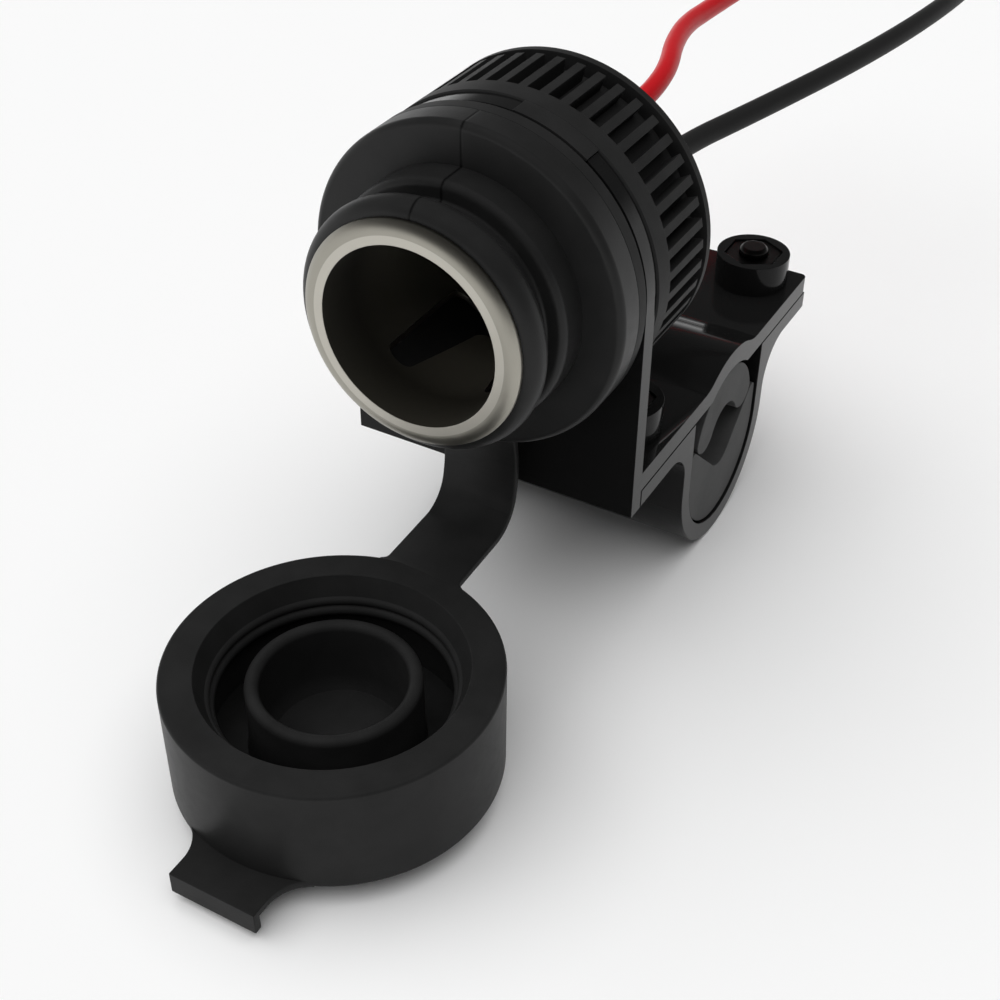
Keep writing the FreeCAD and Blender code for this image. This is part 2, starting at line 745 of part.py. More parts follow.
# Lower clamp: a U-shaped saddle under the bar with a flange in front and behind. The screw
# heads bear in spot faces that bite into the hollow blends beside the saddle.
clamp = new_body("clamp_lower")
CLAMP_FRONT = f"{PLATE_BACK} + clamp_gap"
saddle = outline(clamp, "YZ_Plane", [
    (CLAMP_FRONT, "split_height"),
    (CLAMP_FRONT, "flange_base"),
    (f"-{SADDLE_OUTER} - front_blend", "flange_base"),
    (f"-{SADDLE_OUTER}", "flange_base - front_blend", "-front_blend"),
    (f"-{SADDLE_OUTER}", "-saddle_drop"),
    ("0", f"-saddle_drop - {SADDLE_OUTER}", SADDLE_OUTER),
    (SADDLE_OUTER, "-saddle_drop", SADDLE_OUTER),
    (SADDLE_OUTER, "flange_base - rear_blend"),
    (f"{SADDLE_OUTER} + rear_blend", "flange_base", "-rear_blend"),
    ("base_rear", "flange_base"),
    ("base_rear", "split_height"),
    ("saddle_r", "split_height"),
    ("saddle_r", "-saddle_drop"),
    ("0", "-saddle_drop - saddle_r", "-saddle_r"),
    ("-saddle_r", "-saddle_drop", "-saddle_r"),
    ("-saddle_r", "split_height"),
])
pad(clamp, saddle, f"{BRACKET_HALF} * 2", both_ways=True)
spots = circles(clamp, "XY_Plane", [(x, y, "head_r + spot_gap") for x, y in SCREWS.values()], "flange_base")
cut(clamp, spots, "head_thick * 2", along=False)
holes = circles(clamp, "XY_Plane", [(x, y, SCREW_HOLE_R) for x, y in SCREWS.values()], "split_height")
cut(clamp, holes, "split_height - flange_base + 1", along=False)

# Upper pad: a soft arch with round feet that hugs the bar from above.
upper = new_body("upper_pad")
PAD_LENGTH = f"2 * ({BRACKET_HALF} - pad_gap)"
UPPER_Z = "(arch_r - pad_gap - upper_pad_r)"
CHEEK_Y = f"sqrt(upper_pad_r^2 - (pad_cheek - {UPPER_Z})^2)"
HUG_Y = "bar_r * cos(pad_hug)"
HUG_Z = "bar_r * sin(pad_hug)"
arch = outline(upper, "YZ_Plane", [
    (CHEEK_Y, "pad_cheek", "pad_foot_out"),
    (f"-{CHEEK_Y}", "pad_cheek", "upper_pad_r"),
    ("-pad_foot_side", "pad_foot_height", "pad_foot_out"),
    (f"-{HUG_Y}", HUG_Z, "pad_foot_in"),
    (HUG_Y, HUG_Z, "-bar_r"),
    ("pad_foot_side", "pad_foot_height", "pad_foot_in"),
])
pad(upper, arch, PAD_LENGTH, both_ways=True)

# Lower pad: a soft filling of the saddle with a V-notch whose faces touch the bar.
lower = new_body("lower_pad")
LOWER_R = "(saddle_r - pad_gap)"
TIP_Z = f"({LOWER_R} * tan(notch_slope) - bar_r / cos(notch_slope))"
TIP_RUN = "notch_tip * tan(45 + notch_slope / 2)"
TIP_Y = f"({LOWER_R} - {TIP_RUN} * cos(notch_slope))"
TIP_TOP = f"{TIP_Z} - {TIP_RUN} * sin(notch_slope)"
DIP_Y = "(notch_round * sin(notch_slope))"
DIP_Z = f"({DIP_Y} * tan(notch_slope) - bar_r / cos(notch_slope))"
notch = outline(lower, "YZ_Plane", [
    (LOWER_R, "-saddle_drop", LOWER_R),
    (LOWER_R, f"{TIP_Z} - {TIP_RUN}"),
    (TIP_Y, TIP_TOP, "notch_tip"),
    (DIP_Y, DIP_Z),
    (f"-{DIP_Y}", DIP_Z, "-notch_round"),
    (f"-{TIP_Y}", TIP_TOP),
    (f"-{LOWER_R}", f"{TIP_Z} - {TIP_RUN}", "notch_tip"),
    (f"-{LOWER_R}", "-saddle_drop"),
    ("0", f"-saddle_drop - {LOWER_R}", LOWER_R),
])
pad(lower, notch, PAD_LENGTH, both_ways=True)

# Screws up through the clamp's flanges, and the nuts that lie in the bosses.
for place, (x, y) in SCREWS.items():
    screw = new_body("clamp_screw_" + place)
    bind(screw, "Placement.Base.x", x)
    bind(screw, "Placement.Base.y", y)
    bind(screw, "Placement.Base.z", "flange_base")
    turn(screw, [
        ("0", "-head_thick"),
        ("head_r - head_round", "-head_thick"),
        ("head_r", "head_round - head_thick", "head_round"),
        ("head_r", "0"),
        ("screw_r", "0"),
        ("screw_r", f"{SCREW_LEN} - screw_tip"),
        ("screw_r - screw_tip", SCREW_LEN),
        ("0", SCREW_LEN),
    ])
    cut(screw, outline(screw, "XY_Plane", hexagon("0", "0", "key_flats"), "-head_thick"), "key_depth")

    hexnut = new_body("clamp_nut_" + place)
    bind(hexnut, "Placement.Base.x", x)
    bind(hexnut, "Placement.Base.y", y)
    bind(hexnut, "Placement.Base.z", HEX_FLOOR)
    pad(hexnut, outline(hexnut, "XY_Plane", hexagon("0", "0", "hex_flats")), "hex_thick")
    cut(hexnut, circles(hexnut, "XY_Plane", [("0", "0", "screw_r + fit_gap")]), "hex_thick")
    rim = outline(hexnut, "XZ_Plane", [
        ("hex_flats / 2", "hex_thick"),
        ("hex_flats", "hex_thick - 2 * hex_chamfer"),
        ("hex_flats", "hex_thick"),
    ])
    feature(hexnut, "Groove", rim, ReferenceAxis=(rim, ["V_Axis"]), Angle=360)

# Leads: short stiff pigtails that stand out to the rear from the crimps and droop a little at
# their ends. Points are counted from the middle of the mouth.
RED_ROUTE = [
    (-5, 54.5, 0),
    (-4.6, 71, 0.3),
    (-10.6, 88.5, 0.8),
    (-11.9, 104, 0.6),
    (-8.6, 122, -1.2),
    (-4.5, 140, -4.4),
    (-3, 156, -9),
]
BLACK_ROUTE = [
    (5, 54.5, 0),
    (9.2, 72, 0.2),
    (16.4, 96, 0.1),
    (20.6, 119, -0.4),
    (22.8, 141, -3),
    (23.2, 160, -7.5),
]


def lead_path(points):
    """Straight runs joined by tangent arcs, each as wide as its two runs allow."""
    edges = []
    radii = []
    here = points[0]
    for before, corner, after in zip(points, points[1:], points[2:]):
        back, onward = before - corner, after - corner
        run = min(back.Length, onward.Length)
        half_turn = (math.pi - back.getAngle(onward)) / 2
        back.normalize()
        onward.normalize()
        reach = 0.45 * run
        radius = reach / math.tan(half_turn)
        start, end = corner + back * reach, corner + onward * reach
        inward = (back + onward).normalize()
        middle = corner + inward * (radius / math.cos(half_turn) - radius)
        edges.append(Part.LineSegment(here, start).toShape())
        edges.append(Part.Arc(start, middle, end).toShape())
        radii.append(round(radius, 1))
        here = end
    edges.append(Part.LineSegment(here, points[-1]).toShape())
    return Part.Wire(edges), radii


MOUTH = V(0, -size("mouth_reach"), size(AXIS_HEIGHT))
for colour, side, route in (("red", -1, RED_ROUTE), ("black", 1, BLACK_ROUTE)):
    start = V(side * size("lead_space"), size("tab_end + tab_thick"), 0)
    points = [MOUTH + start] + [MOUTH + V(*p) for p in route]
    path, radii = lead_path(points)
    radius = size("lead_r")
    section = Part.Face(Part.Wire(Part.makeCircle(radius, points[0], points[1] - points[0])))
    lead = doc.addObject("Part::Feature", colour + "_lead")
    lead.Label = colour + "_lead"
    lead.Shape = path.makePipe(section)
    share = lead.Shape.Volume / (math.pi * radius**2 * path.Length)
    print(colour, "lead", round(path.Length, 1), "mm, volume share", round(share, 4), "radii", radii)
    tip = doc.addObject("Part::Feature", colour + "_lead_tip")
    tip.Label = colour + "_lead_tip"
    end = points[-1] - points[-2]
    tip.Shape = Part.makeCylinder(size("tip_r"), size("tip_len"), points[-1], end)
    nodes.extend([lead, tip])

doc.recompute()
os.makedirs("parts", exist_ok=True)
for thing in doc.Objects:
    if "Invalid" in thing.State or "Error" in thing.State:
        raise RuntimeError(f"{thing.Label} failed: {thing.State}")
for node in nodes:
    if node.Shape.isNull() or not node.Shape.isValid() or len(node.Shape.Solids) != 1:
        raise RuntimeError(f"{node.Label} is not one valid solid")
for node in nodes:
    node.Shape.exportStep(f"parts/{node.Label}.step")
    print(node.Label, round(node.Shape.Volume, 2))
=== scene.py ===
import math

import bmesh
import bpy
from mathutils import Matrix, Vector


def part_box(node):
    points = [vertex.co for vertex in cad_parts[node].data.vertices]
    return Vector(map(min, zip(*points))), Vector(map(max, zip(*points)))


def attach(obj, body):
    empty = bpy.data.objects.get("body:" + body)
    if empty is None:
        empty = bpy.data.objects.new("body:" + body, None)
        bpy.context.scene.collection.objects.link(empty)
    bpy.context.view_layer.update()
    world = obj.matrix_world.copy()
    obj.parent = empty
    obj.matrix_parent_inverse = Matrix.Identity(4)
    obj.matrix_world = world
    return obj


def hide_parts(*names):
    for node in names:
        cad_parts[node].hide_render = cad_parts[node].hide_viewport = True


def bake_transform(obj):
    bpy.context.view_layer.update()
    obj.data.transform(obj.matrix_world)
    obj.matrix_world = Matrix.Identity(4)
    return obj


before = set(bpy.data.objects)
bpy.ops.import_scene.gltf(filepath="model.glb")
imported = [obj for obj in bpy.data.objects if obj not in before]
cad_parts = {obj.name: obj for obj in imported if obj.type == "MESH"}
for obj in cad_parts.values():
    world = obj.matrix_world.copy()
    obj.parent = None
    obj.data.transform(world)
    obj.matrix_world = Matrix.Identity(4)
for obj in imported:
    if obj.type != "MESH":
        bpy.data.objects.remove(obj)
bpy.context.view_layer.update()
scene = bpy.context.scene
mm = 0.001

# Viewpoint: from in front of the mouth, above it and to its right, as the photograph looks.
heading, pitch, roll = (math.radians(angle) for angle in (29.18, 37.843, 0.543))
camera_data = bpy.data.cameras.new("viewpoint")
camera_data.lens = 56.34
camera_data.sensor_width = 36
camera = bpy.data.objects.new("viewpoint", camera_data)
camera.matrix_world = (
    Matrix.Translation(Vector((75.61, -162.33, 120.06)) * mm)
    @ Matrix.Rotation(heading, 4, "Z")
    @ Matrix.Rotation(math.pi / 2 - pitch, 4, "X")
    @ Matrix.Rotation(roll, 4, "Z")
)
scene.collection.objects.link(camera)
scene.camera = camera
scene.view_settings.view_transform = "Standard"


# Studio: a white table that runs to the horizon, a broad soft lamp above and a dim one on the
# left. The room over the table is dark, most of all behind the camera, as black pieces need.
class Wire:
    """A node's output. Sums on it add Math nodes, and its node method adds any other node."""

    def __init__(self, tree, socket=None):
        self.tree = tree
        self.socket = socket

    def node(self, kind, settings=None, sockets=None, output=0):
        """Adds a node with its settings and with values or wires in its sockets."""
        made = self.tree.nodes.new(kind)
        for name, value in (settings or {}).items():
            if name == "stops":
                for stop in range(len(value) - 2):
                    made.color_ramp.elements.new(0.5)
                for element, (position, colour) in zip(made.color_ramp.elements, value):
                    element.position = position
                    element.color = colour
            else:
                setattr(made, name, value)
        open_sockets = [socket for socket in made.inputs if socket.enabled]
        for name, value in (sockets or {}).items():
            if isinstance(name, str):
                socket = next(socket for socket in open_sockets if socket.name == name)
            else:
                socket = open_sockets[name]
            if isinstance(value, Wire):
                self.tree.links.new(value.socket, socket)
            else:
                socket.default_value = value
        shown = [socket for socket in made.outputs if socket.enabled]
        if isinstance(output, str):
            shown = [socket for socket in shown if socket.name == output]
            output = 0
        return Wire(self.tree, shown[output]) if shown else None

    def math(self, operation, first, second):
        """A Math node on two wires or numbers."""
        return self.node("ShaderNodeMath", {"operation": operation}, {0: first, 1: second})

    def __add__(self, other):
        return self.math("ADD", self, other)

    def __sub__(self, other):
        return self.math("SUBTRACT", self, other)

    def __rsub__(self, other):
        return self.math("SUBTRACT", other, self)

    def __mul__(self, other):
        return self.math("MULTIPLY", self, other)

    __radd__ = __add__
    __rmul__ = __mul__


def grey(level):
    """A neutral colour."""
    return (level, level, level, 1)


room = scene.world or bpy.data.worlds.new("room")
scene.world = room
room.use_nodes = True
room.node_tree.nodes.clear()
air = Wire(room.node_tree)
direction = air.node("ShaderNodeTexCoord", output="Generated")
across = air.node("ShaderNodeSeparateXYZ", sockets={0: direction}, output="X")
along = air.node("ShaderNodeSeparateXYZ", sockets={0: direction}, output="Y")
height = air.node("ShaderNodeSeparateXYZ", sockets={0: direction}, output="Z")
sky = air.node(
    "ShaderNodeValToRGB",
    {"stops": [(0.0, grey(0.97)), (0.04, grey(0.95)), (0.26, grey(0.1)), (1.0, grey(0.06))]},
    {0: height},
)
darker = air.node(
    "ShaderNodeValToRGB",
    {"stops": [(0.0, grey(1.0)), (0.5, grey(0.8)), (1.0, grey(0.2))]},
    {0: (across - along) * (math.sqrt(0.5) / 2) + 0.5},
)
sky = air.node(
    "ShaderNodeMix",
    {"data_type": "RGBA", "blend_type": "MULTIPLY"},
    {"Factor": 1.0, "A": sky, "B": darker},
    output="Result",
)
light = air.node("ShaderNodeBackground", sockets={"Color": sky, "Strength": 1.25})
air.node("ShaderNodeOutputWorld", sockets={"Surface": light})


def lamp(name, towards, strength, spread):
    """A far lamp whose light falls in a direction, as soft as its spread in degrees is wide."""
    data = bpy.data.lights.new(name, "SUN")
    data.energy = strength
    data.angle = math.radians(spread)
    held = bpy.data.objects.new(name, data)
    held.rotation_euler = Vector(towards).to_track_quat("-Z", "Y").to_euler()
    held.visible_glossy = False
    scene.collection.objects.link(held)


lamp("broad_lamp", (0.1, 0.12, -0.97), 2.75, 92)
lamp("side_lamp", (0.75, 0.3, -0.55), 0.3, 50)


def blank(name):
    """A new material with no nodes, and the wire that adds them."""
    material = bpy.data.materials.new(name)
    material.use_nodes = True
    material.node_tree.nodes.clear()
    return material, Wire(material.node_tree)


def surface(paint, sockets):
    """Ends a material with a Principled surface."""
    shader = paint.node("ShaderNodeBsdfPrincipled", sockets=sockets)
    paint.node("ShaderNodeOutputMaterial", sockets={"Surface": shader})


table_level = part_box("clamp_lower")[0].z
table_reach = 5
table_mesh = bpy.data.meshes.new("table")
table_mesh.from_pydata(
    [(x * table_reach, y * table_reach, table_level) for x, y in ((-1, -1), (1, -1), (1, 1), (-1, 1))],
    [],
    [(0, 1, 2, 3)],
)
table = bpy.data.objects.new("table", table_mesh)
scene.collection.objects.link(table)
white, paint = blank("white_table")
surface(paint, {"Base Color": grey(0.95), "Roughness": 0.9, "Specular IOR Level": 0.0})
table_mesh.materials.append(white)


# Leads: two insulated wires of one gauge that leave the housing's tail side by side and stand
# out to the rear. Each ends stripped, in tinned strands.
def noise(paint, width, detail=2.0):
    """Lumps about as wide as a given length, fixed to the piece."""
    place = paint.node("ShaderNodeTexCoord", output="Object")
    sockets = {"Vector": place, "Scale": 1 / width, "Detail": detail}
    return paint.node("ShaderNodeTexNoise", sockets=sockets)


def relief(paint, height):
    """The surface's normal, tipped by a height in millimetres."""
    return paint.node("ShaderNodeBump", sockets={"Height": height, "Distance": mm}, output="Normal")


def insulation(name, colour, roughness):
    """Extruded PVC, with faint waves along the wire."""
    material, paint = blank(name)
    surface(paint, {
        "Base Color": colour,
        "Roughness": roughness + 0.1 * noise(paint, 3 * mm),
        "Specular IOR Level": 0.06,
        "Normal": relief(paint, noise(paint, 1.5 * mm) * 0.02),
    })
    return material


barrel_low, barrel_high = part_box("contact_barrel")
mouth = Vector((0, barrel_low.y, (barrel_low.z + barrel_high.z) / 2))
lead_radius = 1.42 * mm
red_route = [
    (-5, 43.8, 0),
    (-5, 54.5, 0),
    (-3.5, 71, 1.3),
    (-9.8, 88.5, 1.3),
    (-10.5, 104, -0.1),
    (-9.1, 122, -0.1),
    (-4.5, 140, -4.4),
    (-3, 156, -9),
]
black_route = [
    (5, 43.8, 0),
    (5, 54.5, 0),
    (9.6, 72, -0.2),
    (16.3, 96, 0.4),
    (20, 119, 0.4),
    (20.1, 141, -0.9),
    (23.2, 160, -7.5),
]


def settled(piece):
    """Turns a piece's modifiers into plain mesh."""
    graph = bpy.context.evaluated_depsgraph_get()
    mesh = bpy.data.meshes.new_from_object(piece.evaluated_get(graph))
    piece.modifiers.clear()
    piece.data = mesh
    return piece


def added(name, mesh, material):
    """A mesh as a piece of one material."""
    mesh.materials.clear()
    mesh.materials.append(material)
    piece = bpy.data.objects.new(name, mesh)
    scene.collection.objects.link(piece)
    return piece


def grown(name, build, material):
    """A mesh that Geometry Nodes build from sizes, which build returns by name."""
    tree = bpy.data.node_groups.new(name, "GeometryNodeTree")
    sizes, shape = build(Wire(tree))
    tree.interface.new_socket("Geometry", in_out="OUTPUT", socket_type="NodeSocketGeometry")
    whole = shape.node("GeometryNodeRealizeInstances", sockets={"Geometry": shape})
    painted = whole.node("GeometryNodeSetMaterial", sockets={"Geometry": whole, "Material": material})
    painted.node("NodeGroupOutput", sockets={"Geometry": painted})
    piece = added(name, bpy.data.meshes.new(name), material)
    growth = piece.modifiers.new("growth", "NODES")
    growth.node_group = tree
    for item in tree.interface.items_tree:
        if item.in_out == "INPUT":
            growth[item.identifier] = sizes[item.name]
    return settled(piece)


class Sizes:
    """The named inputs of a Geometry Nodes tree."""

    def __init__(self, wire):
        self.wire = wire
        self.values = {}
        self.group = wire.tree.nodes.new("NodeGroupInput")

    def __call__(self, name, value):
        """A named input, as a wire, and the value that it is given."""
        kind = "NodeSocketInt" if isinstance(value, int) else "NodeSocketFloat"
        self.wire.tree.interface.new_socket(name, in_out="INPUT", socket_type=kind)
        self.values[name] = value
        return Wire(self.wire.tree, self.group.outputs[name])


# Stripped ends: seven tinned strands, laid with a slow twist.
def strands(made):
    """Seven round strands along Z, six of them wound round the middle one."""
    sizes = Sizes(made)
    thick = sizes("strand radius", 0.31 * mm)
    reach = sizes("bare length", 7.3 * mm)
    count = sizes("outer strands", 6)
    wound = made.node("GeometryNodeCurveSpiral", sockets={
        "Resolution": 24, "Rotations": 0.7, "Start Radius": thick + thick, "End Radius": thick + thick,
        "Height": reach,
    })
    spots = made.node("GeometryNodePoints", sockets={"Count": count})
    index = made.node("GeometryNodeInputIndex")
    turn = index * made.math("DIVIDE", 2 * math.pi, count)
    spin = made.node("ShaderNodeCombineXYZ", sockets={"Z": turn})
    ring = made.node("GeometryNodeInstanceOnPoints", sockets={
        "Points": spots, "Instance": wound, "Rotation": spin,
    })
    top = made.node("ShaderNodeCombineXYZ", sockets={"Z": reach})
    core = made.node("GeometryNodeCurvePrimitiveLine", sockets={"End": top})
    both = made.node("GeometryNodeJoinGeometry")
    for part in (made.node("GeometryNodeRealizeInstances", sockets={"Geometry": ring}), core):
        made.tree.links.new(part.socket, both.socket.node.inputs[0])
    rod = made.node("GeometryNodeCurvePrimitiveCircle", sockets={"Resolution": 10, "Radius": thick})
    return sizes.values, made.node("GeometryNodeCurveToMesh", sockets={
        "Curve": both, "Profile Curve": rod, "Fill Caps": True,
    })


def metal(name, colour, roughness, grain, depth):
    """A plated or bare metal with fine grain and cloudy gloss."""
    cloud = 0.1
    material, paint = blank(name)
    surface(paint, {
        "Base Color": (*colour, 1),
        "Metallic": 1.0,
        "Roughness": roughness - cloud / 2 + cloud * noise(paint, 2 * mm, 4.0),
        "Normal": relief(paint, noise(paint, grain) * depth),
    })
    return material


tinned = metal("tinned_wire", (0.62, 0.62, 0.6), 0.35, 0.1 * mm, 0.004)


def bared(name, route):
    """The bare strands at the end of a lead."""
    end, before = (mouth + Vector(point) * mm for point in (route[-1], route[-2]))
    tip = grown(name + "_strands", strands, tinned)
    lay = (end - before).to_track_quat("Z", "Y").to_matrix().to_4x4()
    tip.data.transform(Matrix.Translation(end) @ lay @ Matrix.Translation((0, 0, -0.3 * mm)))
    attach(tip, "socket")
    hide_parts(name + "_tip")
    return tip


def lead(name, route, material):
    """A round wire along a smooth curve through a route, counted from the mouth."""
    data = bpy.data.curves.new(name, "CURVE")
    data.dimensions = "3D"
    spline = data.splines.new("NURBS")
    spline.points.add(len(route) - 1)
    for point, place in zip(spline.points, route):
        point.co = (*(mouth + Vector(place) * mm), 1)
    spline.order_u = 3
    spline.use_endpoint_u = True
    spline.resolution_u = 24
    data.bevel_depth = lead_radius
    data.bevel_resolution = 8
    data.use_fill_caps = True
    data.materials.append(material)
    wire = bpy.data.objects.new(name + "_wire", data)
    scene.collection.objects.link(wire)
    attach(wire, "socket")
    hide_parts(name)
    bared(name, route)


lead("red_lead", red_route, insulation("red_insulation", (0.52, 0.012, 0.017, 1), 0.25))
lead("black_lead", black_route, insulation("black_insulation", grey(0.018), 0.42))


# Socket barrel: drawn brass sheet, nickel plated. Its brim curls out over the boot's lip. The bore is
# coloured dull, dark and not metallic, with painted fill light that makes it lighter at the mouth and
# much lighter deeper in. The curled part of the brim is painted darker than the flat ring, as painted
# shade.
def softened(source, name, material, radius, concave=False, limit=30):
    """A mesh's copy as a piece, with its edges rounded that are sharper than a limit in degrees."""
    cut = bmesh.new()
    cut.from_mesh(source)
    bmesh.ops.remove_doubles(cut, verts=cut.verts, dist=0.002 * mm)
    bmesh.ops.dissolve_limit(cut, angle_limit=math.radians(0.5), verts=cut.verts, edges=cut.edges)
    weights = cut.edges.layers.float.new("bevel_weight_edge")
    for edge in cut.edges:
        turn = math.degrees(edge.calc_face_angle_signed(0)) if edge.is_manifold else 0
        if turn > limit or concave and turn < -limit:
            edge[weights] = 1
        elif turn < -limit:
            edge.smooth = False
    mesh = bpy.data.meshes.new(name)
    cut.to_mesh(mesh)
    cut.free()
    mesh.shade_smooth()
    piece = added(name, mesh, material)
    bevel = piece.modifiers.new("edges", "BEVEL")
    bevel.limit_method = "WEIGHT"
    bevel.width = radius
    bevel.segments = 2
    bevel.use_clamp_overlap = False
    faces = piece.modifiers.new("faces", "WEIGHTED_NORMAL")
    faces.keep_sharp = True
    return settled(piece)


def dressed(node, body, slot, material, radius, mesh=None, **more):
    """A piece that stands for a CAD solid: its mesh or another, with softened edges."""
    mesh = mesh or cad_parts[node].data
    piece = softened(mesh, node + "_form", material, radius, **more)
    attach(piece, body)
    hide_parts(node)
    return piece


def traced(corners):
    """A line through corners in short steps. A third value is the radius of the arc that arrives
    there, turning left, or right where it is negative."""
    points = [Vector(corners[0])]
    for corner in corners[1:]:
        start, end = points[-1], Vector(corner[:2])
        run = end - start
        if len(corner) == 3:
            rise = math.sqrt(max(corner[2] ** 2 - (run.length / 2) ** 2, 0))
            inward = Vector((-run.y, run.x)).normalized() * math.copysign(rise, corner[2])
            centre = (start + end) / 2 + inward
            swept = 2 * math.asin(max(min(run.length / 2 / corner[2], 1), -1))
            for step in range(1, 12):
                points.append(centre + Matrix.Rotation(swept * step / 12, 2) @ (start - centre))
        points.append(end)
    return points


onto_axis = Matrix.Translation(mouth) @ Matrix.Rotation(-math.pi / 2, 4, "X") @ Matrix.Scale(mm, 4)


def turned(corners, sector=(0, 360), axis=onto_axis):
    """A closed profile of (radius, place from the mouth), turned about the socket's axis or
    another. A sector is counted in degrees from the right, over the top."""
    profile = traced(corners)
    whole = sector[1] - sector[0] == 360
    steps = 188 if whole else 16
    made = bmesh.new()
    rings = []
    for step in range(steps if whole else steps + 1):
        angle = -math.radians(sector[0] + (sector[1] - sector[0]) * step / steps)
        rings.append([
            made.verts.new((point.x * math.cos(angle), point.x * math.sin(angle), point.y))
            for point in profile
        ])
    for index in range(0 if whole else 1, len(rings)):
        before, ring = rings[index - 1], rings[index]
        for spot in range(len(profile)):
            made.faces.new((before[spot - 1], before[spot], ring[spot], ring[spot - 1]))
    if not whole:
        made.faces.new(rings[0])
        made.faces.new(rings[-1])
    bmesh.ops.recalc_face_normals(made, faces=made.faces)
    mesh = bpy.data.meshes.new("turned")
    made.to_mesh(mesh)
    made.free()
    mesh.transform(axis)
    return mesh


def upright(corners, low, high):
    """A block between two heights, whose plan is traced from places across and from the mouth."""
    made = bmesh.new()
    base = made.faces.new([
        made.verts.new(mouth + Vector((place.x, place.y, low)) * mm) for place in traced(corners)
    ])
    for item in bmesh.ops.extrude_face_region(made, geom=[base])["geom"]:
        if isinstance(item, bmesh.types.BMVert):
            item.co.z += (high - low) * mm
    bmesh.ops.recalc_face_normals(made, faces=made.faces)
    mesh = bpy.data.meshes.new("block")
    made.to_mesh(mesh)
    made.free()
    return mesh


def carved(source, tool, operation="DIFFERENCE"):
    """A mesh with another cut out of it, or joined to it."""
    closed = bmesh.new()
    closed.from_mesh(source)
    bmesh.ops.remove_doubles(closed, verts=closed.verts, dist=0.002 * mm)
    merged = bpy.data.meshes.new("merged")
    closed.to_mesh(merged)
    closed.free()
    body = bpy.data.objects.new("body", merged)
    cutter = bpy.data.objects.new("cutter", tool)
    for thing in (body, cutter):
        scene.collection.objects.link(thing)
    cut = body.modifiers.new("cut", "BOOLEAN")
    cut.object = cutter
    cut.operation = operation
    mesh = settled(body).data
    for thing in (body, cutter):
        bpy.data.objects.remove(thing)
    return mesh


def from_axis(paint):
    """A point's place along the socket's axis from the mouth, and its squared distance from it."""
    place = paint.node("ShaderNodeTexCoord", output="Object")
    x = paint.node("ShaderNodeSeparateXYZ", sockets={0: place})
    y = paint.node("ShaderNodeSeparateXYZ", sockets={0: place}, output="Y") - mouth.y
    z = paint.node("ShaderNodeSeparateXYZ", sockets={0: place}, output="Z") - mouth.z
    return y, x * x + z * z


bore_radius = 10.5
brim_flat = 11.5
nickel, paint = blank("plated_barrel")
depth, spread = from_axis(paint)
inside = paint.math("LESS_THAN", spread, ((bore_radius + 0.12) * mm) ** 2)
inside = inside * paint.math("GREATER_THAN", depth, 0.05 * mm)
# Painted fill light: the bore's colour is darkest about 6 mm in. It grows lighter towards the mouth and
# much lighter deeper in, where the lamps hardly reach.
bore_painted_fill = paint.node(
    "ShaderNodeValToRGB",
    {"stops": [
        (0.0, (0.026, 0.024, 0.019, 1)),
        (0.3, (0.018, 0.0165, 0.013, 1)),
        (0.7, (0.09, 0.083, 0.066, 1)),
    ]},
    {0: depth * (1 / (20 * mm))},
)
plating_and_painted_shade = paint.node(
    "ShaderNodeMix",
    {"data_type": "RGBA"},
    {"Factor": inside, "A": (0.53, 0.51, 0.455, 1), "B": bore_painted_fill},
    output="Result",
)
# Painted shade: the curled outer part of the brim takes a darker copy of the plating's colour.
brim_roll_painted_shade = paint.math("GREATER_THAN", spread, ((brim_flat + 0.05) * mm) ** 2)
plating_and_painted_shade = paint.node(
    "ShaderNodeMix",
    {"data_type": "RGBA"},
    {"Factor": brim_roll_painted_shade, "A": plating_and_painted_shade, "B": (0.37, 0.355, 0.31, 1)},
    output="Result",
)
surface(paint, {
    "Base Color": plating_and_painted_shade,
    "Metallic": 1 - inside,
    "Roughness": 0.33 + 0.1 * noise(paint, 2 * mm, 4.0) + inside * 0.2,
    "Normal": relief(paint, noise(paint, 0.13 * mm) * 0.012),
})
drawn = turned([
    (bore_radius, 0),
    (brim_flat, 0),
    (13.1, 0.67, 1.9),
    (13.1, 1.2),
    (11.2, 1.2),
    (11.2, 36),
    (7, 36),
    (7, 35.3),
    (8.5, 35.3),
    (bore_radius, 33.3, -2),
])
finger_slot = upright([
    (-6.4, 7.3),
    (-7.54, 8.44, -1.14),
    (-7.54, 21.6),
    (-6.14, 23, -1.4),
    (6.14, 23),
    (7.54, 21.6, -1.4),
    (7.54, 8.44),
    (6.4, 7.3, -1.14),
    (5.9, 7.3),
    (4.64, 8.5, -1.22),
    (2.62, 17.9),
    (1.22, 19.3, 1.4),
    (-1.22, 19.3),
    (-2.62, 17.9, 1.4),
    (-4.64, 8.5),
    (-5.9, 7.3, -1.22),
], -14, 0)
dressed("contact_barrel", "socket", "nickel", nickel, 0.06 * mm, mesh=carved(drawn, finger_slot))


